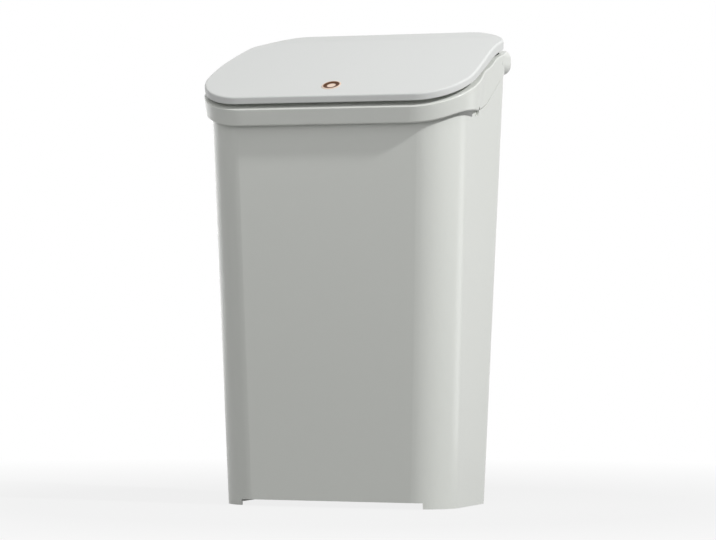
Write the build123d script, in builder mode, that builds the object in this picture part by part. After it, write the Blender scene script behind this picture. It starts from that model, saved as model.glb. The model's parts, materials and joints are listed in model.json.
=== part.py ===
"""A push-top kitchen bin of about ten litres.

A tapered tub stands on its corners. A frame sits on the tub's rim and carries a sloping lid on
two hinge pins at the back. A push latch in the front of the frame holds the lid's striker: a
press on the lid lets it go, and two torsion springs swing the lid open.

Axes: X to the right, Y to the back, Z up, millimetres. The origin is on the floor, under the
middle of the bin. Heights of the rim are given as rises above RIM_LEVEL, and depths along the
side-view lines as shares of LID_REACH, so that the sloping forms follow when the bin grows.
"""

import os
from math import cos, pi, radians, sin, sqrt, tan

from build123d import *

os.makedirs("parts", exist_ok=True)

# ------------------------------------------------------------------ tub
BASE_WIDTH = 213.0
BASE_DEPTH = 131.0
BASE_CORNER = 33.0
RIM_WIDTH = 236.5
RIM_DEPTH = 160.0
RIM_CORNER = 35.0
RIM_LEVEL = 350.0
TUB_WALL = 2.2
TUB_FLOOR = 2.5
FOOT_HEIGHT = 6.5
INNER_FLOOR_RADIUS = 7.0
FOOT_GAP_WIDTH = 168.0
FOOT_GAP_HEIGHT = 5.2

# ------------------------------------------------------------------ frame
FRAME_WIDTH = 250.0
FRAME_FRONT = 86.5
FRAME_CORNER = 46.0
FRAME_DRAFT = 8.0
FRAME_SIDE_DRAFT = 5.0
FRAME_FLARE = 1.0
FRAME_SKIN = 2.2
FLANGE = 2.5
FLUSH_STEP = 0.2
TUB_CLEARANCE = 0.3
SEAM_GAP = 0.15
INNER_WALL = 2.0
INNER_WALL_DROP = 12.0
RIM_GAP = 4.2
RIM_EDGE_RADIUS = 1.1
BAND_EDGE_RADIUS = 1.4
SNAP_LENGTH = 20.0
SNAP_HEIGHT = 7.4
SNAP_DEPTH_SHARE = -0.30
SNAP_DEEP = 2.6

# ------------------------------------------------------------------ hinge
RAIL_PROUD = 4.8
RAIL_HEIGHT = 23.0
RAIL_DEPTH = 24.5
RAIL_CORNER = 20.0
RAIL_ROUND = 9.0
RAIL_START = 0.52
HINGE_RISE = 44.0
PIN_RADIUS = 2.0
PIN_CLEARANCE = 0.05
PIN_LENGTH = 37.0
PIN_END = 0.3
PIN_CHAMFER = 0.4
KNUCKLE_X = 72.0
SLOT_WIDTH = 24.0
SLOT_BELOW = 9.0
EYE_SIDE = 1.0
EYE_WIDTH = 8.0
EYE_RADIUS = 6.0
EYE_GAP = 0.8
CORE_WIDTH = 104.0
CORE_DEPTH = 8.4
CORE_SKIN = 3.0

# ------------------------------------------------------------------ lid
LID_REACH = 85.5
LID_WIDTH = 248.0
LID_BACK_WIDTH = 241.0
LID_CORNER = 42.0
LID_BACK_CORNER = 44.0
LID_DRAFT = 5.0
LID_SIDE_DRAFT = 3.0
LID_SKIN = 2.2
LID_TOP_RADIUS = 1.8
LID_LOW_RADIUS = 0.6
LINER_CLEARANCE = 0.3
LINER_LIFT = 0.8
LINER_SKIN = 2.0
PLUG_CLEARANCE = 2.6
PLUG_SKIN = 1.6
PLUG_DROP = 2.6
PLUG_BACK = 4.1
MARK_RADIUS = 8.6
MARK_DEPTH_SHARE = -0.785
MARK_POCKET = 1.2
MARK_CLEARANCE = 0.15
MARK_DISH = 0.5
MARK_RING = 1.2
MARK_PROUD = 0.35
MARK_EDGE_RADIUS = 0.3

# ------------------------------------------------------------------ side-view lines
# Each pair is a share of LID_REACH behind the middle and a rise above RIM_LEVEL.
LID_LINE = (
    (-1.17, -7.4), (-1.0, 0.2), (-0.5, 21.7), (0.0, 38.4), (0.47, 51.6), (1.0, 61.5), (1.17, 64.4),
)
RIM_LINE = (
    (-1.17, -11.6), (-1.0, -4.0), (-0.5, 17.4), (0.0, 32.4), (0.2, 37.8), (0.32, 43.4),
    (0.47, 47.4), (1.0, 57.3), (1.17, 60.2),
)
LID_TOP_LINE = (
    (-1.17, -1.0), (-1.0, 6.8), (-0.6, 24.9), (-0.2, 40.4), (0.2, 53.2), (0.53, 61.5),
    (0.76, 66.6), (1.0, 74.2), (1.17, 80.4),
)
SKIRT_LINE = (
    (-1.17, -19.5), (-1.08, -19.5), (-0.99, -19.3), (-0.945, -17.7), (-0.854, -13.5),
    (-0.725, -8.7),
)
TUB_FRONT_LINE = ((-1.17, -7.4), (-0.9, -7.3), (-0.725, -7.0))
SEAM_LINE = (
    (-0.561, -6.4), (-0.351, -5.9), (-0.175, -4.2), (0.058, 2.0), (0.234, 11.0), (0.468, 24.0),
    (0.678, 32.0), (0.85, 33.2), (1.17, 33.4),
)
LID_BLEND_END = 0.47
FRAME_BLEND_LOW = -0.26
FRAME_BLEND_HIGH = 0.50

# ------------------------------------------------------------------ hinge springs
HINGE_SPRING_RADIUS = 3.4
HINGE_SPRING_WIRE = 1.1
HINGE_SPRING_PITCH = 1.75
HINGE_SPRING_TURNS = 5
HINGE_SPRING_SIDE = 2.2
WIRE_SIDES = 6
SHORT_LEG = 8.0
SPRING_SEAT = 0.35
STOP_THICK = 1.6
STOP_LENGTH = 7.0

# ------------------------------------------------------------------ push latch
LATCH_FROM_WALL = 7.7
HOUSING_WIDTH = 36.0
HOUSING_DEPTH = 14.4
HOUSING_HEIGHT = 36.0
HOUSING_SKIN = 1.7
HOUSING_CORNER = 2.0
PEG_RADIUS = 1.1
PEG_INSET = 2.9
PEG_LOW = 2.4
PEG_HIGH = 25.0
HOUSING_TOP_RISE = -3.0
POP_TRAVEL = 3.0
JAW_SWING = 4.0
SLIDE_CLEARANCE = 0.35
CARRIAGE_LEVEL = 13.0
CARRIAGE_BASE = 3.2
CHEEK_ROUND = 2.6
PIVOT_SPACING = 19.0
PIVOT_RISE = 6.0
PIVOT_RADIUS = 1.0
PAD_WIDTH = 9.0
PAD_RISE = 4.3
SPRING_PEG = 2.5
JAW_EYE = 2.5
JAW_WAIST = 1.3
JAW_DEPTH = 5.4
JAW_CLEARANCE = 0.3
JAW_REACH = 4.7
JAW_HOOK = 2.4
JAW_LIP = 0.8
HOOK_ABOVE_HEAD = 2.5
HEAD_WIDTH = 13.0
HEAD_DEPTH = 4.0
HEAD_HEIGHT = 4.0
HEAD_LEAD = 1.2
HEAD_ABOVE_PIVOT = 8.0
STRIKER_BACK = 1.2
STEM_WIDTH = 5.0
STRIKER_WIDTH = 30.0
STRIKER_DEPTH = 9.0
STRIKER_PLATE = 2.5
STRIKER_CORNER = 2.0
STRIKER_LEVEL = 7.0
STRIKER_SCREW_SPACING = 21.0
STRIKER_SCREW_REACH = 6.5
EAR_FRONT = 3.0
EAR_THICK = 2.2
EAR_HEIGHT = 10.0
EAR_DROP = 12.0
SCREW_SPACING = 46.0
SCREW_EDGE = 4.0
SCREW_RADIUS = 1.25
SCREW_HEAD_RADIUS = 2.7
SCREW_HEAD_HEIGHT = 1.8
SCREW_HEAD_BEVEL = 0.8
SCREW_REACH = 4.6
BOSS_RADIUS = 3.6
LATCH_SPRING_RADIUS = 3.6
LATCH_SPRING_WIRE = 0.8
LATCH_SPRING_TURNS = 5
LATCH_SPRING_SEAT = 0.2

# ------------------------------------------------------------------ how far the cutting forms run
REACH = 200.0
PAST = 1.0
LOW = RIM_LEVEL - 32.0
HIGH = RIM_LEVEL + 90.0


# ------------------------------------------------------------------ helpers
def tub_size(level, inset=0.0):
    """Width, depth and corner radius of the tub's outline at a height, moved in by inset."""
    share = level / RIM_LEVEL
    width = BASE_WIDTH + (RIM_WIDTH - BASE_WIDTH) * share
    depth = BASE_DEPTH + (RIM_DEPTH - BASE_DEPTH) * share
    corner = BASE_CORNER + (RIM_CORNER - BASE_CORNER) * share
    return width - 2 * inset, depth - 2 * inset, corner - inset


def tub_block(inset, low, high, floor_radius=0.0):
    """A solid with the tub's taper between two heights, moved in by inset."""
    with BuildPart() as block:
        for level in (low, high):
            with BuildSketch(Plane.XY.offset(level)):
                RectangleRounded(*tub_size(level, inset))
        loft(ruled=True)
        if floor_radius > 0:
            fillet(block.edges().group_by(Axis.Z)[0], floor_radius)
    return block.part


def plan_outline(level, half_front, half_back, front, back, front_corner, back_corner, blend_end):
    """A plan outline, alike on both sides, that narrows from the front corners to blend_end."""
    with BuildSketch(Plane.XY.offset(level)) as outline:
        with BuildLine():
            Line((0, -front), (half_front - front_corner, -front))
            CenterArc((half_front - front_corner, front_corner - front), front_corner, -90, 90)
            Spline(
                (half_front, front_corner - front),
                (half_back, blend_end * LID_REACH),
                tangents=((0, 1), (0, 1)),
            )
            Line((half_back, blend_end * LID_REACH), (half_back, back - back_corner))
            CenterArc((half_back - back_corner, back - back_corner), back_corner, 0, 90)
            Line((half_back - back_corner, back), (0, back))
            mirror(about=Plane.YZ)
        make_face()
    return outline.sketch


def frame_outline(level, inset):
    """The frame's plan outline: proud of the tub in front, flush with it behind."""
    width, depth, corner = tub_size(level)
    above = level - (RIM_LEVEL - RIM_GAP)
    share = (level - LOW) / (HIGH - LOW)
    return plan_outline(
        level,
        FRAME_WIDTH / 2 + above * tan(radians(FRAME_SIDE_DRAFT)) - inset,
        width / 2 + FLUSH_STEP + (level - RIM_LEVEL) * tan(radians(FRAME_FLARE)) - inset,
        FRAME_FRONT + above * tan(radians(FRAME_DRAFT)) - inset,
        depth / 2 + FLUSH_STEP - inset,
        FRAME_CORNER - inset,
        corner - inset,
        FRAME_BLEND_LOW + (FRAME_BLEND_HIGH - FRAME_BLEND_LOW) * share,
    )


def lid_outline(level, inset):
    """The lid's plan outline."""
    above = level - RIM_LEVEL
    return plan_outline(
        level,
        LID_WIDTH / 2 + above * tan(radians(LID_SIDE_DRAFT)) - inset,
        LID_BACK_WIDTH / 2 - inset,
        LID_REACH + above * tan(radians(LID_DRAFT)) - inset,
        LID_REACH - inset,
        LID_CORNER - inset,
        LID_BACK_CORNER - inset,
        LID_BLEND_END,
    )


def outline_block(outline, inset):
    """A solid of an outline over the whole height of the rim."""
    sections = [outline(LOW, inset), outline(HIGH, inset)]
    with BuildPart() as block:
        loft(sections=sections, ruled=True)
    return block.part


def placed(line, lift=0.0):
    """A side-view line's points at real sizes, raised by lift."""
    return [(share * LID_REACH, RIM_LEVEL + rise + lift) for share, rise in line]


def level_line(level):
    """A straight side-view line at one height."""
    end = LID_LINE[-1][0] * LID_REACH
    return [(-end, level), (end, level)]


def side_slab(low_points, high_points):
    """Everything between two side-view lines, over the whole width."""
    with BuildPart() as slab:
        with BuildSketch(Plane.YZ.offset(-REACH)):
            with BuildLine():
                low = Spline(*low_points) if len(low_points) > 2 else Line(*low_points)
                high = Spline(*high_points) if len(high_points) > 2 else Line(*high_points)
                Line(low @ 0, high @ 0)
                Line(low @ 1, high @ 1)
            make_face()
        extrude(amount=2 * REACH)
    return slab.part


def swept_faces(body):
    """The faces of a body that a side-view line cut, from the lowest to the highest."""
    return body.faces().filter_by(GeomType.EXTRUSION).sort_by(Axis.Z)


def on_line(line, depth):
    """Height and slope angle of a side-view line at a depth."""
    curve = Spline(*[(0, y, z) for y, z in placed(line)])
    low, high = 0.0, 1.0
    for _ in range(40):
        middle = (low + high) / 2
        if (curve @ middle).Y < depth:
            low = middle
        else:
            high = middle
    tangent = curve % low
    return (curve @ low).Z, Vector(0, 1, 0).get_angle(tangent)


def biarc(start, start_way, end, end_way):
    """Two arcs that join two points and meet in one tangent, inside an open BuildLine."""
    chord = end - start
    sum_way = start_way + end_way
    spread = 2 * (1 - start_way.dot(end_way))
    along = chord.dot(sum_way)
    reach = (sqrt(along * along + spread * chord.dot(chord)) - along) / spread
    joint = (start + start_way * reach + end - end_way * reach) * 0.5
    first = TangentArc(start, joint, tangent=start_way)
    TangentArc(joint, end, tangent=first % 1)


def coil_gap(radius, pitch, turns, wire):
    """The least gap between two turns of a coil, measured on points along its wire."""
    steps = 24
    points = [coil_point(radius, pitch, step / steps)[0] for step in range(turns * steps + 1)]
    return min(
        (points[a] - points[b]).length - wire
        for a in range(len(points))
        for b in range(a + steps // 2, len(points))
    )


def pan_screw(x, y, level, reach):
    """A pan-head screw that points up, with the underside of its head at a level."""
    with BuildPart() as screw:
        with BuildSketch(Plane.XY.offset(level)):
            with Locations((x, y)):
                Circle(SCREW_HEAD_RADIUS)
        extrude(amount=-SCREW_HEAD_HEIGHT)
        chamfer(screw.edges().group_by(Axis.Z)[0], SCREW_HEAD_BEVEL)
        with BuildSketch(Plane.XY.offset(level)):
            with Locations((x, y)):
                Circle(SCREW_RADIUS)
        extrude(amount=reach)
    return screw.part


def coil_point(radius, pitch, turn):
    """A point on a coil about X that starts below its axis, and the way the wire runs there."""
    angle = 2 * pi * turn
    point = Vector(pitch * turn, -radius * sin(angle), -radius * cos(angle))
    way = Vector(pitch / (2 * pi), -radius * cos(angle), radius * sin(angle))
    return point, way.normalized()


TUB_EDGE_LINE = TUB_FRONT_LINE + SEAM_LINE
FRAME_EDGE_LINE = SKIRT_LINE + SEAM_LINE
HINGE_LEVEL = RIM_LEVEL + HINGE_RISE
RAIL_BACK = tub_size(HINGE_LEVEL)[1] / 2 + RAIL_PROUD
HINGE_Y = RAIL_BACK - RAIL_HEIGHT / 2
RAIL_FRONT = RAIL_BACK - RAIL_DEPTH
RAIL_LOW = HINGE_LEVEL - RAIL_HEIGHT / 2
RAIL_HALF = tub_size(HINGE_LEVEL)[0] / 2 + FLUSH_STEP + HINGE_RISE * tan(radians(FRAME_FLARE))
LAP = TUB_WALL + TUB_CLEARANCE
MOUTH_INSET = LAP + INNER_WALL
SPRING_LEDGE = HINGE_LEVEL - HINGE_SPRING_RADIUS - HINGE_SPRING_WIRE / 2 - SPRING_SEAT
HOUSING_TOP = RIM_LEVEL + HOUSING_TOP_RISE
HOUSING_FLOOR = HOUSING_TOP - HOUSING_HEIGHT
SCREW_LEVEL = HOUSING_TOP - EAR_DROP
LATCH_Y = LATCH_FROM_WALL + MOUTH_INSET - tub_size(SCREW_LEVEL)[1] / 2
EAR_Y = LATCH_Y - EAR_FRONT
STRIKER_Y = LATCH_Y + STRIKER_BACK
CARRIAGE_LOW = HOUSING_FLOOR + CARRIAGE_LEVEL
PIVOT_LEVEL = CARRIAGE_LOW + PIVOT_RISE
HEAD_LEVEL = PIVOT_LEVEL + HEAD_ABOVE_PIVOT
HOOK_LEVEL = HEAD_LEVEL + HEAD_HEIGHT + HOOK_ABOVE_HEAD
STRIKER_TOP = RIM_LEVEL + STRIKER_LEVEL
print("hinge axis", round(HINGE_Y, 2), HINGE_LEVEL, "rail back", round(RAIL_BACK, 2))
print("latch middle", round(LATCH_Y, 2), "jaw pivots", PIVOT_LEVEL)

# ------------------------------------------------------------------ tub
tub_outer = tub_block(0, 0, HIGH)
tub_inner = tub_block(TUB_WALL, FOOT_HEIGHT + TUB_FLOOR, HIGH + PAST, INNER_FLOOR_RADIUS)
tub_under = tub_block(TUB_WALL, -PAST, FOOT_HEIGHT)
above_tub = side_slab(placed(TUB_EDGE_LINE, -SEAM_GAP), level_line(HIGH + 2 * PAST))
below_rim = level_line(LOW - 2 * PAST)

with BuildPart() as snap_windows:
    with BuildSketch(Plane.YZ.offset(tub_size(RIM_LEVEL)[0] / 2 - SNAP_DEEP)):
        with Locations((SNAP_DEPTH_SHARE * LID_REACH, RIM_LEVEL + SEAM_LINE[1][1])):
            SlotOverall(SNAP_LENGTH, SNAP_HEIGHT)
    extrude(amount=FRAME_WIDTH - RIM_WIDTH)
    mirror(about=Plane.YZ)

with BuildPart() as tub_body:
    add(tub_outer)
    add(tub_inner, mode=Mode.SUBTRACT)
    add(tub_under, mode=Mode.SUBTRACT)
    add(above_tub, mode=Mode.SUBTRACT)
    with BuildSketch(Plane.XZ):
        with Locations((0, FOOT_GAP_HEIGHT / 2)):
            Rectangle(FOOT_GAP_WIDTH, FOOT_GAP_HEIGHT)
    extrude(amount=REACH, both=True, mode=Mode.SUBTRACT)
    add(snap_windows.part, mode=Mode.SUBTRACT)
tub_body.part.label = "tub_body"
export_step(tub_body.part, "parts/tub_body.step")

# ------------------------------------------------------------------ frame
band_zone = side_slab(placed(FRAME_EDGE_LINE), placed(RIM_LINE))
under_flange = side_slab(below_rim, placed(RIM_LINE, -FLANGE))
under_rim = side_slab(below_rim, placed(RIM_LINE))
lap_zone = side_slab(placed(TUB_EDGE_LINE, -INNER_WALL_DROP), placed(RIM_LINE, -FLANGE / 2))
tub_zone = side_slab(below_rim, placed(TUB_EDGE_LINE))
frame_outer = outline_block(frame_outline, 0)
frame_inner = outline_block(frame_outline, FRAME_SKIN)
tub_space = tub_block(-TUB_CLEARANCE, LOW - PAST, HIGH)
lap_outer = tub_block(LAP, LOW, HIGH)
lap_inner = tub_block(MOUTH_INSET, LOW - PAST, HIGH + PAST)

with BuildPart() as frame_band:
    add(frame_outer)
    add(band_zone, mode=Mode.INTERSECT)
    fillet(swept_faces(frame_band)[-1].edges(), RIM_EDGE_RADIUS)
    fillet(swept_faces(frame_band)[0].edges(), BAND_EDGE_RADIUS)

with BuildPart() as frame_hollow:
    add(frame_inner)
    add(under_flange, mode=Mode.INTERSECT)

with BuildPart() as tub_seat:
    add(tub_space)
    add(tub_zone, mode=Mode.INTERSECT)

with BuildPart() as lap_wall:
    add(lap_outer)
    add(lap_zone, mode=Mode.INTERSECT)

with BuildPart() as mouth:
    add(lap_inner)
    with BuildSketch(Plane.XY.offset(RAIL_LOW - PAST)):
        with Locations((0, RAIL_FRONT)):
            Rectangle(2 * REACH, REACH, align=(Align.CENTER, Align.MIN))
    extrude(amount=HIGH, mode=Mode.SUBTRACT)

RAIL_LENGTH = RAIL_BACK - RAIL_START * LID_REACH
with BuildPart() as rail:
    with BuildSketch(Plane.XY.offset(RAIL_LOW)) as rail_plan:
        with Locations((0, RAIL_BACK)):
            Rectangle(2 * RAIL_HALF, RAIL_LENGTH, align=(Align.CENTER, Align.MAX))
        fillet(rail_plan.vertices().group_by(Axis.Y)[-1], RAIL_CORNER)
    extrude(amount=RAIL_HEIGHT)
    level_edges = rail.edges().filter_by(Plane.XY)
    fillet(level_edges.filter_by(lambda edge: edge.center().Y > HINGE_Y - RAIL_LENGTH / 2), RAIL_ROUND)
    add(under_rim, mode=Mode.INTERSECT)

with BuildPart() as rail_cuts:
    with BuildSketch(Plane.XY.offset(RAIL_LOW - PAST)):
        with Locations((0, RAIL_FRONT + CORE_SKIN)):
            Rectangle(CORE_WIDTH, CORE_DEPTH, align=(Align.CENTER, Align.MIN))
    extrude(amount=RAIL_HEIGHT - CORE_SKIN)
    with BuildSketch(Plane.YZ.offset(KNUCKLE_X - SLOT_WIDTH / 2)):
        with BuildLine():
            Polyline(
                (RAIL_FRONT + CORE_SKIN, HIGH),
                (RAIL_FRONT + CORE_SKIN, SPRING_LEDGE),
                (HINGE_Y - EYE_RADIUS - EYE_GAP, SPRING_LEDGE),
                (HINGE_Y - EYE_RADIUS - EYE_GAP, HINGE_LEVEL - SLOT_BELOW),
                (RAIL_BACK + PAST, HINGE_LEVEL - SLOT_BELOW),
                (RAIL_BACK + PAST, HIGH),
                close=True,
            )
        make_face()
    extrude(amount=SLOT_WIDTH)
    with BuildSketch(Plane.YZ.offset(CORE_WIDTH / 2)):
        with Locations((HINGE_Y, HINGE_LEVEL)):
            Circle(PIN_RADIUS + PIN_CLEARANCE)
    extrude(amount=PIN_LENGTH + PIN_END)
    mirror(about=Plane.YZ)

with BuildPart() as latch_bosses:
    with BuildSketch(Plane.XZ.offset(-EAR_Y)):
        with GridLocations(SCREW_SPACING, 1, 2, 1), Locations((0, SCREW_LEVEL)):
            Circle(BOSS_RADIUS)
    extrude(amount=tub_size(SCREW_LEVEL)[1] / 2 - MOUTH_INSET + INNER_WALL / 2 + EAR_Y)

with BuildPart() as screw_holes:
    with BuildSketch(Plane.XZ.offset(-EAR_Y - EAR_THICK)):
        with GridLocations(SCREW_SPACING, 1, 2, 1), Locations((0, SCREW_LEVEL)):
            Circle(SCREW_RADIUS + PIN_CLEARANCE)
    extrude(amount=SCREW_REACH + EAR_THICK + PIN_END)

with BuildPart() as top_frame:
    add(frame_band.part)
    add(frame_hollow.part, mode=Mode.SUBTRACT)
    add(rail.part)
    add(tub_seat.part, mode=Mode.SUBTRACT)
    add(lap_wall.part)
    add(mouth.part, mode=Mode.SUBTRACT)
    add(latch_bosses.part)
    add(rail_cuts.part, mode=Mode.SUBTRACT)
    add(screw_holes.part, mode=Mode.SUBTRACT)
    add(snap_windows.part, mode=Mode.SUBTRACT)
top_frame.part.label = "top_frame"
export_step(top_frame.part, "parts/top_frame.step")

# ------------------------------------------------------------------ lid
shell_top = side_slab(below_rim, placed(LID_TOP_LINE, -LID_SKIN))
lid_zone = side_slab(placed(LID_LINE), placed(LID_TOP_LINE))
mark_level, mark_slope = on_line(LID_TOP_LINE, MARK_DEPTH_SHARE * LID_REACH)
mark_plane = Plane(
    origin=(0, MARK_DEPTH_SHARE * LID_REACH, mark_level),
    x_dir=(1, 0, 0),
    z_dir=(0, -sin(radians(mark_slope)), cos(radians(mark_slope))),
)
mark_axis = Axis(mark_plane.origin, mark_plane.z_dir)

with BuildPart() as shell_hollow:
    add(outline_block(lid_outline, LID_SKIN))
    add(shell_top, mode=Mode.INTERSECT)

with BuildPart() as lid_shell:
    add(outline_block(lid_outline, 0))
    add(lid_zone, mode=Mode.INTERSECT)
    fillet(swept_faces(lid_shell)[-1].edges(), LID_TOP_RADIUS)
    fillet(swept_faces(lid_shell)[0].edges(), LID_LOW_RADIUS)
    add(shell_hollow.part, mode=Mode.SUBTRACT)
    with BuildSketch(mark_plane.offset(-MARK_POCKET)):
        Circle(MARK_RADIUS + MARK_CLEARANCE)
    extrude(amount=MARK_POCKET + PAST, mode=Mode.SUBTRACT)
lid_shell.part.label = "lid_shell"
export_step(lid_shell.part, "parts/lid_shell.step")

dish_depth = MARK_PROUD + MARK_DISH
dish_radius = ((MARK_RADIUS - MARK_RING) ** 2 + dish_depth**2) / (2 * dish_depth)
with BuildPart() as push_mark:
    with BuildSketch(mark_plane.offset(-MARK_POCKET)):
        Circle(MARK_RADIUS)
    extrude(amount=MARK_POCKET + MARK_PROUD)
    fillet(push_mark.edges().filter_by(GeomType.CIRCLE).sort_by(mark_axis)[-1], MARK_EDGE_RADIUS)
    with Locations(mark_plane.offset(dish_radius - MARK_DISH)):
        Sphere(dish_radius, mode=Mode.SUBTRACT)
push_mark.part.label = "push_mark"
export_step(push_mark.part, "parts/push_mark.step")

liner_middle = placed(LID_LINE, LINER_LIFT + LINER_SKIN / 2)
liner_zone = side_slab(placed(LID_LINE, LINER_LIFT), placed(LID_LINE, LINER_LIFT + LINER_SKIN))
under_liner = side_slab(below_rim, liner_middle)
plug_zone = side_slab(placed(LID_LINE, -RIM_GAP - PLUG_DROP), liner_middle)
plug_inset = MOUTH_INSET + PLUG_CLEARANCE

with BuildPart() as plug_space:
    add(tub_block(plug_inset + PLUG_SKIN, LOW - PAST, HIGH + PAST))
    split(bisect_by=Plane.XZ.offset(-RAIL_FRONT + PLUG_BACK + PLUG_SKIN), keep=Keep.TOP)

with BuildPart() as plug_wall:
    add(tub_block(plug_inset, LOW, HIGH))
    split(bisect_by=Plane.XZ.offset(-RAIL_FRONT + PLUG_BACK), keep=Keep.TOP)
    add(plug_space.part, mode=Mode.SUBTRACT)
    add(plug_zone, mode=Mode.INTERSECT)

long_leg_y = HINGE_Y + HINGE_SPRING_RADIUS
stop_y = long_leg_y + HINGE_SPRING_WIRE / 2 + SPRING_SEAT
liner_underside = on_line(LID_LINE, long_leg_y)[0] + LINER_LIFT
arm_outside = KNUCKLE_X + SLOT_WIDTH / 2 - EYE_SIDE
arm_inside = arm_outside - EYE_WIDTH
stop_inside = KNUCKLE_X - SLOT_WIDTH / 2 + EYE_SIDE
with BuildPart() as hinge_arms:
    with BuildSketch(Plane.YZ.offset(arm_inside)):
        with Locations((HINGE_Y, HINGE_LEVEL)):
            Circle(EYE_RADIUS)
            Rectangle(2 * EYE_RADIUS, HIGH - HINGE_LEVEL, align=(Align.CENTER, Align.MIN))
    extrude(amount=EYE_WIDTH)
    with BuildSketch(Plane.YZ.offset(stop_inside)):
        with Locations((stop_y, liner_underside - STOP_LENGTH)):
            Rectangle(STOP_THICK, HIGH - liner_underside, align=(Align.MIN, Align.MIN))
    extrude(amount=arm_inside - stop_inside)
    mirror(about=Plane.YZ)
    add(under_liner, mode=Mode.INTERSECT)

with BuildPart() as striker_boss:
    with BuildSketch(Plane.XY.offset(STRIKER_TOP)):
        with Locations((0, STRIKER_Y)):
            RectangleRounded(STRIKER_WIDTH, STRIKER_DEPTH, STRIKER_CORNER)
    extrude(amount=HIGH - STRIKER_TOP)
    add(under_liner, mode=Mode.INTERSECT)

with BuildPart() as lid_liner:
    add(outline_block(lid_outline, LID_SKIN + LINER_CLEARANCE))
    add(liner_zone, mode=Mode.INTERSECT)
    add(plug_wall.part)
    add(hinge_arms.part)
    add(striker_boss.part)
    with BuildSketch(Plane.YZ.offset(-REACH)):
        with Locations((HINGE_Y, HINGE_LEVEL)):
            Circle(PIN_RADIUS + PIN_CLEARANCE)
    extrude(amount=2 * REACH, mode=Mode.SUBTRACT)
    with BuildSketch(Plane.XY.offset(STRIKER_TOP)):
        with GridLocations(STRIKER_SCREW_SPACING, 1, 2, 1), Locations((0, STRIKER_Y)):
            Circle(SCREW_RADIUS + PIN_CLEARANCE)
    extrude(amount=STRIKER_SCREW_REACH - STRIKER_PLATE + PIN_END, mode=Mode.SUBTRACT)
lid_liner.part.label = "lid_liner"
export_step(lid_liner.part, "parts/lid_liner.step")

# ------------------------------------------------------------------ striker
with BuildPart() as striker:
    with BuildSketch(Plane.XY.offset(STRIKER_TOP - STRIKER_PLATE)):
        with Locations((0, STRIKER_Y)):
            RectangleRounded(STRIKER_WIDTH, STRIKER_DEPTH, STRIKER_CORNER)
        with GridLocations(STRIKER_SCREW_SPACING, 1, 2, 1), Locations((0, STRIKER_Y)):
            Circle(SCREW_RADIUS + PIN_CLEARANCE, mode=Mode.SUBTRACT)
    extrude(amount=STRIKER_PLATE)
    with BuildSketch(Plane.XZ.offset(-STRIKER_Y)):
        with BuildLine():
            Polyline(
                (0, HEAD_LEVEL),
                (HEAD_WIDTH / 2 - HEAD_LEAD, HEAD_LEVEL),
                (HEAD_WIDTH / 2, HEAD_LEVEL + HEAD_LEAD),
                (HEAD_WIDTH / 2, HEAD_LEVEL + HEAD_HEIGHT),
                (STEM_WIDTH / 2, HEAD_LEVEL + HEAD_HEIGHT),
                (STEM_WIDTH / 2, STRIKER_TOP - STRIKER_PLATE),
                (0, STRIKER_TOP - STRIKER_PLATE),
            )
            mirror(about=Plane.YZ)
        make_face()
    extrude(amount=HEAD_DEPTH / 2, both=True)
striker.part.label = "striker"
export_step(striker.part, "parts/striker.step")

plate_level = STRIKER_TOP - STRIKER_PLATE
with BuildPart() as striker_screws:
    for x in (-STRIKER_SCREW_SPACING / 2, STRIKER_SCREW_SPACING / 2):
        add(pan_screw(x, STRIKER_Y, plate_level, STRIKER_SCREW_REACH))
striker_screws.part.label = "striker_screws"
export_step(striker_screws.part, "parts/striker_screws.step")

# ------------------------------------------------------------------ hinge pins and springs
for name, side in (("hinge_pin_left", -1), ("hinge_pin_right", 1)):
    with BuildPart() as hinge_pin:
        with BuildSketch(Plane.YZ.offset(side * CORE_WIDTH / 2)):
            with Locations((HINGE_Y, HINGE_LEVEL)):
                Circle(PIN_RADIUS)
        extrude(amount=side * PIN_LENGTH)
        chamfer(hinge_pin.edges().filter_by(GeomType.CIRCLE), PIN_CHAMFER)
    hinge_pin.part.label = name
    export_step(hinge_pin.part, f"parts/{name}.step")

first_turn = KNUCKLE_X - SLOT_WIDTH / 2 + HINGE_SPRING_SIDE + HINGE_SPRING_WIRE / 2
coil_origin = Vector(first_turn + HINGE_SPRING_PITCH / 4, HINGE_Y, HINGE_LEVEL)
hinge_points = []
hinge_ways = []
for quarter in range(-1, 4 * HINGE_SPRING_TURNS + 1):
    point, way = coil_point(HINGE_SPRING_RADIUS, HINGE_SPRING_PITCH, quarter / 4)
    hinge_points.append(coil_origin + point)
    hinge_ways.append(way)
long_leg = (liner_underside - SPRING_SEAT - HINGE_LEVEL) / abs(hinge_ways[0].Z)
hinge_coil = (HINGE_SPRING_RADIUS, HINGE_SPRING_PITCH, HINGE_SPRING_TURNS, HINGE_SPRING_WIRE)
print("hinge spring's least gap", round(coil_gap(*hinge_coil), 2))

with BuildLine() as hinge_wire:
    Line(hinge_points[0] - hinge_ways[0] * long_leg, hinge_points[0])
    for turn in range(len(hinge_points) - 1):
        biarc(hinge_points[turn], hinge_ways[turn], hinge_points[turn + 1], hinge_ways[turn + 1])
    Line(hinge_points[-1], hinge_points[-1] + hinge_ways[-1] * SHORT_LEG)

with BuildPart() as hinge_spring_right:
    with BuildSketch(Plane(origin=hinge_wire.wire() @ 0, z_dir=hinge_wire.wire() % 0)):
        RegularPolygon(HINGE_SPRING_WIRE / 2, WIRE_SIDES)
    sweep(path=hinge_wire.wire())
hinge_spring_right.part.label = "hinge_spring_right"
export_step(hinge_spring_right.part, "parts/hinge_spring_right.step")

with BuildPart() as hinge_spring_left:
    add(hinge_spring_right.part)
    mirror(about=Plane.YZ, mode=Mode.REPLACE)
hinge_spring_left.part.label = "hinge_spring_left"
export_step(hinge_spring_left.part, "parts/hinge_spring_left.step")

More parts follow.
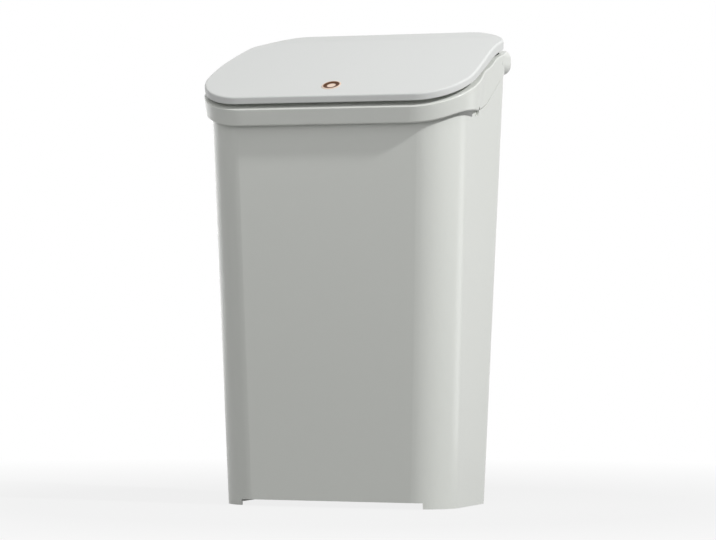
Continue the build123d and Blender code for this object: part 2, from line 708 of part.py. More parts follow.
# ------------------------------------------------------------------ push latch
housing_front = LATCH_Y - HOUSING_DEPTH / 2
housing_back = LATCH_Y + HOUSING_DEPTH / 2
cavity_depth = HOUSING_DEPTH - 2 * HOUSING_SKIN
cavity_width = HOUSING_WIDTH - 2 * HOUSING_SKIN
hook_height = HOOK_LEVEL + JAW_HOOK - PIVOT_LEVEL
swing = radians(JAW_SWING * POP_TRAVEL)
mouth_half = PIVOT_SPACING / 2 + JAW_EYE * cos(swing) + hook_height * sin(swing) + JAW_CLEARANCE
peg_x = HOUSING_WIDTH / 2 - PEG_INSET
peg_places = [
    (x, HOUSING_FLOOR + rise) for x in (-peg_x, peg_x) for rise in (PEG_LOW, PEG_HIGH)
]

with BuildPart() as latch_housing:
    with BuildSketch(Plane.XY.offset(HOUSING_FLOOR)):
        with Locations((0, housing_front)):
            Rectangle(HOUSING_WIDTH, HOUSING_DEPTH - HOUSING_SKIN, align=(Align.CENTER, Align.MIN))
    extrude(amount=HOUSING_HEIGHT)
    fillet(latch_housing.edges().filter_by(Axis.Z).group_by(Axis.Y)[0], HOUSING_CORNER)
    with BuildSketch(Plane.XY.offset(HOUSING_FLOOR + HOUSING_SKIN)):
        with Locations((0, LATCH_Y)):
            Rectangle(cavity_width, cavity_depth)
    extrude(amount=HOUSING_HEIGHT - 2 * HOUSING_SKIN, mode=Mode.SUBTRACT)
    with BuildSketch(Plane.XY.offset(HOUSING_TOP - HOUSING_SKIN - PAST)):
        with Locations((0, LATCH_Y)):
            Rectangle(2 * mouth_half, cavity_depth)
    extrude(amount=HOUSING_SKIN + 2 * PAST, mode=Mode.SUBTRACT)
    with BuildSketch(Plane.XZ.offset(-housing_front - HOUSING_SKIN)):
        with Locations(*peg_places):
            Circle(PEG_RADIUS)
    extrude(amount=-cavity_depth - HOUSING_SKIN)
    with BuildSketch(Plane.XZ.offset(-EAR_Y)):
        with Locations((0, SCREW_LEVEL)):
            RectangleRounded(SCREW_SPACING + 2 * SCREW_EDGE, EAR_HEIGHT, SCREW_EDGE)
            Rectangle(HOUSING_WIDTH - HOUSING_SKIN, EAR_HEIGHT, mode=Mode.SUBTRACT)
        with GridLocations(SCREW_SPACING, 1, 2, 1), Locations((0, SCREW_LEVEL)):
            Circle(SCREW_RADIUS + PIN_CLEARANCE, mode=Mode.SUBTRACT)
    extrude(amount=-EAR_THICK)
    with BuildSketch(Plane.XY.offset(HOUSING_FLOOR + HOUSING_SKIN)):
        with Locations((0, LATCH_Y)):
            Circle(LATCH_SPRING_RADIUS - LATCH_SPRING_WIRE)
    extrude(amount=SPRING_PEG)
latch_housing.part.label = "latch_housing"
export_step(latch_housing.part, "parts/latch_housing.step")

with BuildPart() as latch_cover:
    with BuildSketch(Plane.XZ.offset(-housing_back)):
        with Locations((0, HOUSING_TOP - HOUSING_HEIGHT / 2)):
            RectangleRounded(HOUSING_WIDTH, HOUSING_HEIGHT, HOUSING_CORNER)
        with Locations(*peg_places):
            Circle(PEG_RADIUS + PIN_CLEARANCE, mode=Mode.SUBTRACT)
    extrude(amount=HOUSING_SKIN)
latch_cover.part.label = "latch_cover"
export_step(latch_cover.part, "parts/latch_cover.step")

with BuildPart() as latch_screws:
    for side in (-1, 1):
        with BuildSketch(Plane.XZ.offset(-EAR_Y - EAR_THICK)):
            with Locations((side * SCREW_SPACING / 2, SCREW_LEVEL)):
                Circle(SCREW_HEAD_RADIUS)
        extrude(amount=-SCREW_HEAD_HEIGHT)
        with BuildSketch(Plane.XZ.offset(-EAR_Y - EAR_THICK)):
            with Locations((side * SCREW_SPACING / 2, SCREW_LEVEL)):
                Circle(SCREW_RADIUS)
        extrude(amount=SCREW_REACH + EAR_THICK)
    chamfer(latch_screws.edges().group_by(Axis.Y)[-1], SCREW_HEAD_BEVEL)
latch_screws.part.label = "latch_screws"
export_step(latch_screws.part, "parts/latch_screws.step")

carriage_half = cavity_width / 2 - SLIDE_CLEARANCE
carriage_depth = cavity_depth - 2 * SLIDE_CLEARANCE
cheek = carriage_depth / 2 - JAW_DEPTH / 2 - JAW_CLEARANCE
cheek_width = PIVOT_SPACING + 2 * CHEEK_ROUND
with BuildPart() as latch_carriage:
    with BuildSketch(Plane.XY.offset(CARRIAGE_LOW)):
        with Locations((0, LATCH_Y)):
            Rectangle(2 * carriage_half, carriage_depth)
    extrude(amount=CARRIAGE_BASE)
    for side in (-1, 1):
        with BuildSketch(Plane.XZ.offset(-LATCH_Y - side * carriage_depth / 2)):
            with Locations((0, PIVOT_LEVEL)):
                SlotCenterToCenter(PIVOT_SPACING, 2 * CHEEK_ROUND)
                Rectangle(cheek_width, PIVOT_RISE, align=(Align.CENTER, Align.MAX))
            with GridLocations(PIVOT_SPACING, 1, 2, 1), Locations((0, PIVOT_LEVEL)):
                Circle(PIVOT_RADIUS + PIN_CLEARANCE, mode=Mode.SUBTRACT)
        extrude(amount=side * cheek)
    with BuildSketch(Plane.XY.offset(CARRIAGE_LOW + CARRIAGE_BASE)):
        with Locations((0, LATCH_Y)):
            Rectangle(PAD_WIDTH, carriage_depth)
    extrude(amount=PAD_RISE)
    with BuildSketch(Plane.XY.offset(CARRIAGE_LOW)):
        with Locations((0, LATCH_Y)):
            Circle(LATCH_SPRING_RADIUS - LATCH_SPRING_WIRE)
    extrude(amount=-SPRING_PEG)
latch_carriage.part.label = "latch_carriage"
export_step(latch_carriage.part, "parts/latch_carriage.step")

with BuildPart() as jaw_pins:
    with BuildSketch(Plane.XZ.offset(-LATCH_Y - carriage_depth / 2)):
        with GridLocations(PIVOT_SPACING, 1, 2, 1), Locations((0, PIVOT_LEVEL)):
            Circle(PIVOT_RADIUS)
    extrude(amount=carriage_depth)
jaw_pins.part.label = "jaw_pins"
export_step(jaw_pins.part, "parts/jaw_pins.step")

pivot_x = PIVOT_SPACING / 2
with BuildPart() as jaw_right:
    with BuildSketch(Plane.XZ.offset(-LATCH_Y - JAW_DEPTH / 2)):
        with BuildLine():
            Polyline(
                (pivot_x + JAW_EYE, PIVOT_LEVEL),
                (pivot_x + JAW_EYE, HOOK_LEVEL + JAW_HOOK),
                (pivot_x - JAW_WAIST, HOOK_LEVEL + JAW_HOOK),
                (pivot_x - JAW_REACH, HOOK_LEVEL + JAW_LIP),
                (pivot_x - JAW_REACH, HOOK_LEVEL),
                (pivot_x - JAW_WAIST, HOOK_LEVEL),
                (pivot_x - JAW_WAIST, PIVOT_LEVEL),
                close=True,
            )
        make_face()
        with Locations((pivot_x, PIVOT_LEVEL)):
            Circle(JAW_EYE)
            Circle(PIVOT_RADIUS + PIN_CLEARANCE, mode=Mode.SUBTRACT)
    extrude(amount=JAW_DEPTH)
jaw_right.part.label = "jaw_right"
export_step(jaw_right.part, "parts/jaw_right.step")

with BuildPart() as jaw_left:
    add(jaw_right.part)
    mirror(about=Plane.YZ, mode=Mode.REPLACE)
jaw_left.part.label = "jaw_left"
export_step(jaw_left.part, "parts/jaw_left.step")

spring_low = HOUSING_FLOOR + HOUSING_SKIN + LATCH_SPRING_SEAT + LATCH_SPRING_WIRE / 2
spring_high = CARRIAGE_LOW - LATCH_SPRING_SEAT - LATCH_SPRING_WIRE / 2
latch_pitch = (spring_high - spring_low) / LATCH_SPRING_TURNS
latch_points = []
latch_ways = []
for quarter in range(4 * LATCH_SPRING_TURNS + 1):
    point, way = coil_point(LATCH_SPRING_RADIUS, latch_pitch, quarter / 4)
    latch_points.append(Vector(point.Y, point.Z + LATCH_Y, point.X + spring_low))
    latch_ways.append(Vector(way.Y, way.Z, way.X))
latch_coil = (LATCH_SPRING_RADIUS, latch_pitch, LATCH_SPRING_TURNS, LATCH_SPRING_WIRE)
print("latch spring's least gap", round(coil_gap(*latch_coil), 2))

with BuildLine() as latch_wire:
    Line(latch_points[0] - latch_ways[0] * LATCH_SPRING_WIRE, latch_points[0])
    for turn in range(len(latch_points) - 1):
        biarc(latch_points[turn], latch_ways[turn], latch_points[turn + 1], latch_ways[turn + 1])
    Line(latch_points[-1], latch_points[-1] + latch_ways[-1] * LATCH_SPRING_WIRE)

with BuildPart() as latch_spring:
    with BuildSketch(Plane(origin=latch_wire.wire() @ 0, z_dir=latch_wire.wire() % 0)):
        RegularPolygon(LATCH_SPRING_WIRE / 2, WIRE_SIDES)
    sweep(path=latch_wire.wire())
latch_spring.part.label = "latch_spring"
export_step(latch_spring.part, "parts/latch_spring.step")
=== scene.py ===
# %% [markdown]
# # A push-top bin in satin white plastic
#
# The measured model gives every piece at its real size. This lesson dresses it: a camera that
# stands where the picture was taken, five lamps, and a finish for each plastic and each metal.
# Nothing of the measured model is moved. Each step says what the thing is on the real bin, how
# it could be made, and why this way was chosen. Lengths are in metres, angles in radians and
# the lamps' powers in watts.

# %% Load the model
import json
from math import cos, pi, sin

import bpy
from mathutils import Matrix, Vector


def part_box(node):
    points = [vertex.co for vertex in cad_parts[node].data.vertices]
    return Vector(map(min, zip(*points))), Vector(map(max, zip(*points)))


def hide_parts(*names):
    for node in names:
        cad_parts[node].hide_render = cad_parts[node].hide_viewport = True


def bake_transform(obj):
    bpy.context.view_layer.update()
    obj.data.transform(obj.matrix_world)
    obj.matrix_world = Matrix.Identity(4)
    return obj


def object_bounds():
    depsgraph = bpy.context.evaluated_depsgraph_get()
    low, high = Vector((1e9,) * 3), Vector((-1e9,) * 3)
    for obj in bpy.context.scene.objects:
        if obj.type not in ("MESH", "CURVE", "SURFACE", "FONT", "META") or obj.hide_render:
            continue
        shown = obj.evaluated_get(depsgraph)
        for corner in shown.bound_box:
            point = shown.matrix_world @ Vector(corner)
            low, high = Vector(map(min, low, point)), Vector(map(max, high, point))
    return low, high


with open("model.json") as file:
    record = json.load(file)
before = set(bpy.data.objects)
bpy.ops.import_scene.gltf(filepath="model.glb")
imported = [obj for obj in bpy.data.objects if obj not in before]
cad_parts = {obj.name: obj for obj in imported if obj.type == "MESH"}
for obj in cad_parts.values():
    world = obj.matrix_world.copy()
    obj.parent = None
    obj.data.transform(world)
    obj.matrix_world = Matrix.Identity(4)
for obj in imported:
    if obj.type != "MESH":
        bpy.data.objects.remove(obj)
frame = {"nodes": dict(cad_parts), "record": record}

nodes = frame["nodes"]
cad_low, cad_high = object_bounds()
print("pieces", len(nodes), "height", round(cad_high[2] - cad_low[2], 4))

# %% [markdown]
# ## The camera
#
# A long lens from nearly three metres flattens the bin, as product pictures do. The camera
# circles a point near the middle of the bin's height, looks very slightly up, and is rolled by a
# fifth of a degree. All of it could be set by eye in the viewport; written as two angles, a roll
# and a distance it can be checked against the picture's outlines one value at a time.

# %% Place the camera
PICTURE_WIDTH = 716  # pixels, as are the height, the focal length and the centre
PICTURE_HEIGHT = 540
FOCAL_PIXELS = 3167.6
CENTRE_ACROSS = 357.215
CENTRE_DOWN = 277.833
SENSOR_WIDTH = 36  # millimetres
VIEW_TURN = 0.350432
VIEW_RISE = -0.0120055
VIEW_ROLL = 0.0030733
VIEW_DISTANCE = 2.8140
VIEW_TARGET = Vector((0, 0, 0.200))


def place_camera():
    """The picture's camera, from its turn round the bin, its rise, its roll and its distance."""
    lens = bpy.data.cameras.new("picture_camera")
    lens.sensor_width = SENSOR_WIDTH
    lens.lens = FOCAL_PIXELS / PICTURE_WIDTH * lens.sensor_width
    lens.shift_x = (PICTURE_WIDTH / 2 - CENTRE_ACROSS) / PICTURE_WIDTH
    lens.shift_y = (CENTRE_DOWN - PICTURE_HEIGHT / 2) / PICTURE_WIDTH
    camera = bpy.data.objects.new("picture_camera", lens)
    bpy.context.scene.collection.objects.link(camera)
    outward = Vector((
        sin(VIEW_TURN) * cos(VIEW_RISE),
        -cos(VIEW_TURN) * cos(VIEW_RISE),
        sin(VIEW_RISE),
    ))
    turn = (-outward).to_track_quat("-Z", "Y").to_matrix().to_4x4()
    roll = Matrix.Rotation(VIEW_ROLL, 4, "Z")
    camera.matrix_world = Matrix.Translation(VIEW_TARGET + outward * VIEW_DISTANCE) @ turn @ roll
    bpy.context.scene.camera = camera
    return camera


camera = place_camera()
print("lens", round(camera.data.lens, 1), "mm, eye at", [round(v, 3) for v in camera.location])

# %% [markdown]
# ## The lamps
#
# The shadow under the rim tells where the key lamp stands: far to the right, high, and only just
# in front of the bin. There it grazes the front, falls full on the side, and throws a crisp
# shadow whose height is four times the rim's overhang. A broad lamp in front lifts what the key
# lamp misses, a near one above it fades from the lid down to the foot, and a broad one behind on
# the left keeps the back readable. A small panel close by on the right is seen in the sheen only
# and draws the thin bright line down the front corner. A picture of a room could light it too,
# but lamps can be weighed one at a time: the key and the two in front were rendered alone and
# given the powers whose sum comes near the tones of the lid, the front and the side, and the
# other two were then set by trial.

# %% Set the lamps
LAMPS = (
    # name, direction from the bin, distance, width and height, power
    ("key_lamp", (4.8, -1.0, 4.0), 3.0, (0.12, 0.12), 76.0),
    ("front_lamp", (-0.10, -0.97, 0.20), 2.6, (2.2, 2.2), 15.5),
    ("near_top_lamp", (-0.10, -0.60, 0.80), 1.3, (0.9, 0.9), 2.9),
    ("back_lamp", (-0.82, 0.57, 0.05), 2.6, (2.4, 2.4), 26.0),
    ("strip_lamp", (0.885, 0.465, -0.10), 0.55, (0.22, 0.40), 0.72),
)


def add_lamp(name, way, distance, size, power):
    """A rectangular lamp that faces the middle of the bin from a direction."""
    light = bpy.data.lights.new(name, "AREA")
    light.shape = "RECTANGLE"
    light.size, light.size_y = size
    light.energy = power
    lamp = bpy.data.objects.new(name, light)
    bpy.context.scene.collection.objects.link(lamp)
    way = Vector(way).normalized()
    facing = (-way).to_track_quat("-Z", "Y").to_matrix().to_4x4()
    lamp.matrix_world = Matrix.Translation(VIEW_TARGET + way * distance) @ facing
    return lamp


lamps = {row[0]: add_lamp(*row) for row in LAMPS}
lamps["strip_lamp"].visible_diffuse = False
lamps["strip_lamp"].visible_camera = False
print("lamps", list(lamps))

# %% [markdown]
# ## The white surroundings
#
# In the picture the bin stands in plain white, and its sheen mirrors white as well. If the
# surroundings really shone that much, they would wash out the shadow under the rim. A lit wall
# and a paper sweep could be built; here the surroundings are dim to the light that falls on the
# bin and plain white to the eye and to reflections, so the two can be set apart.

# %% Set the surroundings
WORLD_STRENGTH = 0.14
PURE_WHITE = (1, 1, 1, 1)


def calculate(tree, operation, first, second):
    """The result of a maths node fed by two sockets or plain numbers."""
    node = tree.nodes.new("ShaderNodeMath")
    node.operation = operation
    for socket, given in zip(node.inputs, (first, second)):
        if isinstance(given, (int, float)):
            socket.default_value = given
        else:
            tree.links.new(given, socket)
    return node.outputs[0]


def white_to_the_eye(tree, surface, emission):
    """Mixes a surface with plain white for rays from the eye, off a gloss or through glass."""
    path = tree.nodes.new("ShaderNodeLightPath")
    seen = path.outputs["Is Camera Ray"]
    for ray in ("Is Glossy Ray", "Is Transmission Ray"):
        seen = calculate(tree, "MAXIMUM", seen, path.outputs[ray])
    mix = tree.nodes.new("ShaderNodeMixShader")
    tree.links.new(seen, mix.inputs["Fac"])
    tree.links.new(surface, mix.inputs[1])
    tree.links.new(emission, mix.inputs[2])
    return mix.outputs[0]


def set_world():
    """An even dim world that is plain white where the eye sees it."""
    world = bpy.data.worlds.new("studio")
    world.use_nodes = True
    tree = world.node_tree
    tree.nodes.clear()
    soft = tree.nodes.new("ShaderNodeBackground")
    soft.inputs["Strength"].default_value = WORLD_STRENGTH
    bright = tree.nodes.new("ShaderNodeBackground")
    for background in (soft, bright):
        background.inputs["Color"].default_value = PURE_WHITE
    out = tree.nodes.new("ShaderNodeOutputWorld")
    seen = white_to_the_eye(tree, soft.outputs[0], bright.outputs[0])
    tree.links.new(seen, out.inputs["Surface"])
    bpy.context.scene.world = world
    return world


bpy.context.scene.view_settings.view_transform = "Standard"
print("world", set_world().name, "at", WORLD_STRENGTH)

# %% [markdown]
# ## The floor
#
# The bin stands on plain white ground whose only feature is the faint shadow round its foot. A
# large sheet does it. Painted white it would throw so much light up that the foot glows, so the
# sheet is grey to the light and nearly white to the eye: a share of it that takes the shadow is
# mixed with plain white. The share dies away from the bin, so the sheet's far edge doesn't show.

# %% Lay the floor
FLOOR_SIZE = 12.0
FLOOR_DROP = 0.0004  # keeps the foot clear of the sheet
FLOOR_LEVEL = cad_low[2] - FLOOR_DROP
FLOOR_GREY = 0.30
FLOOR_ROUGHNESS = 0.9
FLOOR_SPECULAR = 0.1
SHADOW_SHARE = 0.16
SHADOW_NEAR = 0.30  # up to here from the bin's middle the shadow keeps its full share
SHADOW_FAR = 0.90  # from here on the ground is plain white


def floor_finish():
    """Pale ground that takes the bin's shadow near it and is plain white further out."""
    material = bpy.data.materials.new("floor")
    material.use_nodes = True
    tree = material.node_tree
    surface = tree.nodes["Principled BSDF"]
    surface.inputs["Base Color"].default_value = (FLOOR_GREY, FLOOR_GREY, FLOOR_GREY, 1)
    surface.inputs["Roughness"].default_value = FLOOR_ROUGHNESS
    surface.inputs["Specular IOR Level"].default_value = FLOOR_SPECULAR
    white = tree.nodes.new("ShaderNodeEmission")
    place = tree.nodes.new("ShaderNodeTexCoord")
    reach = tree.nodes.new("ShaderNodeVectorMath")
    reach.operation = "LENGTH"
    tree.links.new(place.outputs["Object"], reach.inputs[0])
    fade = tree.nodes.new("ShaderNodeMapRange")
    fade.inputs["From Min"].default_value = SHADOW_NEAR
    fade.inputs["From Max"].default_value = SHADOW_FAR
    fade.inputs["To Min"].default_value = 1 - SHADOW_SHARE
    fade.inputs["To Max"].default_value = 1.0
    tree.links.new(reach.outputs["Value"], fade.inputs["Value"])
    blend = tree.nodes.new("ShaderNodeMixShader")
    tree.links.new(fade.outputs["Result"], blend.inputs["Fac"])
    tree.links.new(surface.outputs[0], blend.inputs[1])
    tree.links.new(white.outputs[0], blend.inputs[2])
    seen = white_to_the_eye(tree, surface.outputs[0], blend.outputs[0])
    tree.links.new(seen, tree.nodes["Material Output"].inputs["Surface"])
    return material


def lay_floor():
    """A broad pale sheet just under the bin's foot."""
    mesh = bpy.data.meshes.new("floor")
    half = FLOOR_SIZE / 2
    corners = [(-half, -half), (half, -half), (half, half), (-half, half)]
    mesh.from_pydata([(x, y, FLOOR_LEVEL) for x, y in corners], [], [(0, 1, 2, 3)])
    mesh.materials.append(floor_finish())
    floor = bpy.data.objects.new("floor", mesh)
    bpy.context.scene.collection.objects.link(floor)
    return floor


print(lay_floor().name, "at", round(FLOOR_LEVEL, 4))

# %% [markdown]
# ## The plastic's skin
#
# A mould gives polypropylene a fine even grain and, from cooling, a very slight drift in tone.
# Three things vary over the surface: the colour, the roughness and the height. They could be
# wired anew for each plastic. They come from one shader group instead, because all these parts
# are moulded the same way, and a change to the grain then reaches every one of them.

# %% Make a group for moulded skin
DRIFT_SCALE = 6.0
DRIFT_DETAIL = 3
GRAIN_SCALE = 2600.0
GRAIN_DETAIL = 2
NOISE_MEAN = 0.5


def noise(tree, scale, detail):
    """A noise over a piece's own coordinates."""
    place = tree.nodes.new("ShaderNodeTexCoord")
    texture = tree.nodes.new("ShaderNodeTexNoise")
    texture.inputs["Scale"].default_value = scale
    texture.inputs["Detail"].default_value = detail
    tree.links.new(place.outputs["Object"], texture.inputs["Vector"])
    return texture.outputs["Fac"]


def moulded_skin():
    """A node group: colour, roughness and height of a moulded plastic's skin."""
    group = bpy.data.node_groups.new("moulded_skin", "ShaderNodeTree")
    for side, names in (
        ("INPUT", ("Colour", "Drift", "Roughness", "Grain")),
        ("OUTPUT", ("Colour", "Roughness", "Height")),
    ):
        for name in names:
            kind = "NodeSocketColor" if name == "Colour" else "NodeSocketFloat"
            group.interface.new_socket(name, in_out=side, socket_type=kind)
    given = group.nodes.new("NodeGroupInput")
    made = group.nodes.new("NodeGroupOutput")

    centred = calculate(group, "SUBTRACT", noise(group, DRIFT_SCALE, DRIFT_DETAIL), NOISE_MEAN)
    drift = calculate(group, "MULTIPLY", centred, given.outputs["Drift"])
    tone = group.nodes.new("ShaderNodeVectorMath")
    tone.operation = "SCALE"
    group.links.new(given.outputs["Colour"], tone.inputs[0])
    group.links.new(calculate(group, "ADD", drift, 1.0), tone.inputs["Scale"])
    roughness = calculate(group, "ADD", given.outputs["Roughness"], drift)
    grain = noise(group, GRAIN_SCALE, GRAIN_DETAIL)
    height = calculate(group, "MULTIPLY", grain, given.outputs["Grain"])

    group.links.new(tone.outputs[0], made.inputs["Colour"])
    group.links.new(roughness, made.inputs["Roughness"])
    group.links.new(height, made.inputs["Height"])
    return group


skin = moulded_skin()
print("group", skin.name, [s.name for s in skin.interface.items_tree])

# %% [markdown]
# ## The plastics
#
# The bin's own plastic is a soft white with a faint green cast, satin from the mould's fine
# grain, with a thin sheen over it. The lid is the same plastic, a touch cooler and more matt, so
# that it doesn't mirror the room at the low angle from which it is seen. The mark is pale peach,
# the latch a dark engineering plastic and its jaws a pale slippery one. One plastic for all the
# white parts would be quicker, and would lose that difference between lid and tub. Each is a row
# in a table instead: the same skin with another colour and roughness.

# %% Make the plastics
BUMP_STRENGTH = 0.08
BUMP_DISTANCE = 0.0001
COLOUR_DRIFT = 0.02
MARK_GRAIN = 0.2
SKIN_SPECULAR = 0.14  # low, because the sheen mirrors plain white all round
LID_SPECULAR = 0.08
SKIN_COAT = 0.25
COAT_ROUGHNESS = 0.20

BIN_WHITE = (0.700, 0.716, 0.680)
LID_WHITE = (0.700, 0.712, 0.700)
LINER_WHITE = (0.740, 0.752, 0.730)
MARK_PEACH = (0.84, 0.67, 0.55)
LATCH_DARK = (0.060, 0.062, 0.066)
JAW_WHITE = (0.70, 0.70, 0.66)
PLASTICS = (
    # name, colour, roughness, and what else sets it apart
    ("tub_plastic", BIN_WHITE, 0.36, {"coat": SKIN_COAT}),
    ("frame_plastic", BIN_WHITE, 0.36, {"coat": SKIN_COAT}),
    ("lid_plastic", LID_WHITE, 0.42, {"specular": LID_SPECULAR}),
    ("inner_plastic", LINER_WHITE, 0.50, {}),
    ("mark_plastic", MARK_PEACH, 0.45, {"specular": LID_SPECULAR, "grain": MARK_GRAIN}),
    ("latch_plastic", LATCH_DARK, 0.45, {}),
    ("jaw_plastic", JAW_WHITE, 0.35, {}),
)


def plastic(name, colour, roughness, grain=1.0, specular=SKIN_SPECULAR, coat=0.0):
    """A moulded plastic from the skin group."""
    material = bpy.data.materials.new(name)
    material.use_nodes = True
    tree = material.node_tree
    moulded = tree.nodes.new("ShaderNodeGroup")
    moulded.node_tree = skin
    moulded.inputs["Colour"].default_value = (*colour, 1)
    moulded.inputs["Drift"].default_value = COLOUR_DRIFT
    moulded.inputs["Roughness"].default_value = roughness
    moulded.inputs["Grain"].default_value = grain
    bump = tree.nodes.new("ShaderNodeBump")
    bump.inputs["Strength"].default_value = BUMP_STRENGTH
    bump.inputs["Distance"].default_value = BUMP_DISTANCE
    tree.links.new(moulded.outputs["Height"], bump.inputs["Height"])
    surface = tree.nodes["Principled BSDF"]
    tree.links.new(moulded.outputs["Colour"], surface.inputs["Base Color"])
    tree.links.new(moulded.outputs["Roughness"], surface.inputs["Roughness"])
    tree.links.new(bump.outputs["Normal"], surface.inputs["Normal"])
    surface.inputs["Specular IOR Level"].default_value = specular
    surface.inputs["Coat Weight"].default_value = coat
    surface.inputs["Coat Roughness"].default_value = COAT_ROUGHNESS
    return material


finishes = {
    name: plastic(name, colour, roughness, **extras)
    for name, colour, roughness, extras in PLASTICS
}
print("plastics", list(finishes))

# %% [markdown]
# ## The steel
#
# Pins, springs and screws are bright drawn steel. Drawing leaves fine lines along the wire, which
# spread its highlights. They could be modelled as scratches in the height; a fine noise in the
# roughness gives the same broken gleam at this size, and costs nothing in the mesh.

# %% Make the steel
STEEL_GREY = (0.60, 0.60, 0.62)
LINE_SCALE = 900.0
LINE_DETAIL = 3
STEEL_SMOOTHEST = 0.22
STEEL_ROUGHEST = 0.42


def steel():
    """Bright drawn steel with a fine noise in its roughness."""
    material = bpy.data.materials.new("steel")
    material.use_nodes = True
    tree = material.node_tree
    surface = tree.nodes["Principled BSDF"]
    surface.inputs["Base Color"].default_value = (*STEEL_GREY, 1)
    surface.inputs["Metallic"].default_value = 1.0
    ramp = tree.nodes.new("ShaderNodeMapRange")
    ramp.inputs["To Min"].default_value = STEEL_SMOOTHEST
    ramp.inputs["To Max"].default_value = STEEL_ROUGHEST
    tree.links.new(noise(tree, LINE_SCALE, LINE_DETAIL), ramp.inputs["Value"])
    tree.links.new(ramp.outputs["Result"], surface.inputs["Roughness"])
    return material


finishes["steel"] = steel()
print("steel", STEEL_GREY)

# %% [markdown]
# ## The ring on the push mark
#
# The mark is a small pale disc let into the lid, with a dark ring printed on it to say where to
# press. A ring could be a piece of its own, but print has no thickness that the eye can see, so
# it is a mask: the distance from the middle of the disc, kept between two radii and softened at
# both edges as ink is.

# %% Print the ring
RING_BROWN = (0.090, 0.034, 0.012)
RING_INNER = 0.0038
RING_OUTER = 0.0074
RING_SOFT = 0.0006


def print_ring(material, node):
    """Adds a dark ring round the middle of a node's box to the colour of its material."""
    tree = material.node_tree
    corner_low, corner_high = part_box(node)
    middle = [(a + b) / 2 for a, b in zip(corner_low, corner_high)]
    place = tree.nodes.new("ShaderNodeTexCoord")
    reach = tree.nodes.new("ShaderNodeVectorMath")
    reach.operation = "DISTANCE"
    reach.inputs[1].default_value = middle
    tree.links.new(place.outputs["Object"], reach.inputs[0])
    edges = []
    for radius, rise in ((RING_INNER, 1), (RING_OUTER, -1)):
        edge = tree.nodes.new("ShaderNodeMapRange")
        edge.interpolation_type = "SMOOTHSTEP"
        edge.inputs["From Min"].default_value = radius - rise * RING_SOFT
        edge.inputs["From Max"].default_value = radius + rise * RING_SOFT
        tree.links.new(reach.outputs["Value"], edge.inputs["Value"])
        edges.append(edge.outputs["Result"])
    surface = tree.nodes["Principled BSDF"]
    pale = surface.inputs["Base Color"].links[0].from_socket
    ink = tree.nodes.new("ShaderNodeMix")
    ink.data_type = "RGBA"
    tree.links.new(calculate(tree, "MULTIPLY", *edges), ink.inputs["Factor"])
    tree.links.new(pale, ink.inputs["A"])
    ink.inputs["B"].default_value = (*RING_BROWN, 1)
    tree.links.new(ink.outputs["Result"], surface.inputs["Base Color"])
    return middle


print("ring round", [round(v, 4) for v in print_ring(finishes["mark_plastic"], "push_mark")])

# %% [markdown]
# ## The latch spring
#
# Under the carriage of the latch stands a small open spring that lifts it again after each push.
# A curve with a round bevel would make it. A list of rings, one for each step along the wire, is
# chosen because it lets the first and last turns close up flat, as real spring ends do.

# %% Wind the latch spring
SPRING_Y = -0.06718  # straight under the middle of the carriage
SPRING_FOOT = 0.3132  # the wire's middle on the floor of the housing
SPRING_HEAD = 0.3209  # the wire's middle just under the tip of the carriage's peg
SPRING_RADIUS = 0.0036
SPRING_WIRE = 0.0008
SPRING_TURNS = 6
SPRING_CLOSED = 0.85  # turns that lie on each other at either end
SPRING_STEPS = 32  # rings of points in one turn
SPRING_SIDES = 12  # points in one ring


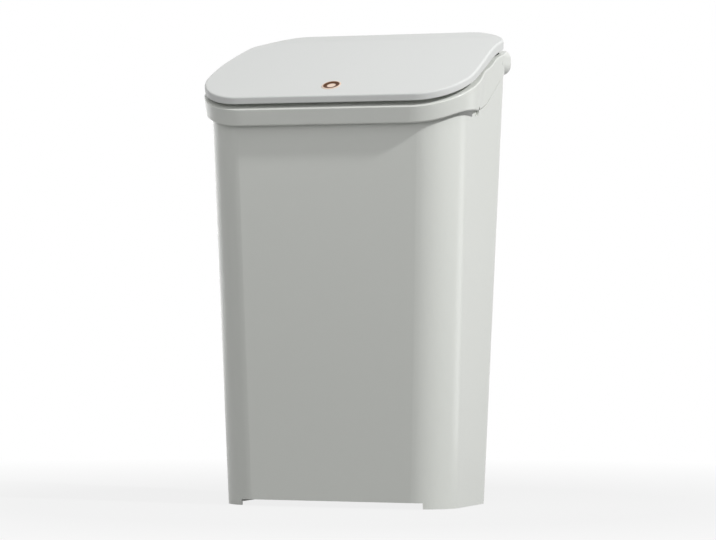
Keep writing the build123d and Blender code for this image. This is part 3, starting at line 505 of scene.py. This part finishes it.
def wire_level(turn):
    """The height of the wire's middle after some turns: slow at both ends, steep between."""
    closed = SPRING_WIRE * SPRING_CLOSED
    open_turns = SPRING_TURNS - 2 * SPRING_CLOSED
    open_pitch = (SPRING_HEAD - SPRING_FOOT - 2 * closed) / open_turns
    if turn < SPRING_CLOSED:
        return SPRING_FOOT + turn * SPRING_WIRE
    if turn > SPRING_TURNS - SPRING_CLOSED:
        return SPRING_HEAD - (SPRING_TURNS - turn) * SPRING_WIRE
    return SPRING_FOOT + closed + (turn - SPRING_CLOSED) * open_pitch


def wire_points():
    """Rings of points round the wire's middle, from the foot to the head."""
    points = []
    for step in range(SPRING_TURNS * SPRING_STEPS + 1):
        turn = step / SPRING_STEPS
        angle = 2 * pi * turn
        outward = Vector((cos(angle), sin(angle), 0))
        middle = outward * SPRING_RADIUS + Vector((0, SPRING_Y, wire_level(turn)))
        for side in range(SPRING_SIDES):
            around = 2 * pi * side / SPRING_SIDES
            spoke = outward * cos(around) + Vector((0, 0, sin(around)))
            points.append(middle + SPRING_WIRE / 2 * spoke)
    return points


def wire_faces(point_count):
    """Four-sided faces between neighbouring rings, and a cap on each end."""
    faces = []
    for first in range(0, point_count - SPRING_SIDES, SPRING_SIDES):
        for side in range(SPRING_SIDES):
            this = first + side
            following = first + (side + 1) % SPRING_SIDES
            faces.append((this, this + SPRING_SIDES, following + SPRING_SIDES, following))
    faces.append(tuple(range(SPRING_SIDES)))
    faces.append(tuple(reversed(range(point_count - SPRING_SIDES, point_count))))
    return faces


def wind_spring():
    """A coil with closed ends that stretches between the bin and the carriage."""
    points = wire_points()
    mesh = bpy.data.meshes.new("wound_latch_spring")
    mesh.from_pydata(points, [], wire_faces(len(points)))
    mesh.validate()
    mesh.polygons.foreach_set("use_smooth", [True] * len(mesh.polygons))
    mesh.materials.append(finishes["steel"])
    spring = bpy.data.objects.new("wound_latch_spring", mesh)
    bpy.context.scene.collection.objects.link(spring)
    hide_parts("latch_spring")
    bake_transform(spring)
    return spring


print("spring", len(wind_spring().data.polygons), "faces")

# %% [markdown]
# ## A finish for each piece
#
# On the real bin each part comes out of its mould, or off its wire machine, in one material. The
# model's record already says which material each piece is of. The finishes could be handed out
# piece by piece, by name; going through the record leaves none out and keeps the two in step.

# %% Put each finish on its pieces
rows = frame["record"]["subparts"]
for row in rows:
    piece = nodes[row["node"]]
    piece.data.materials.clear()
    piece.data.materials.append(finishes[row["material_slot"]])
print("finished", len(rows), "pieces")
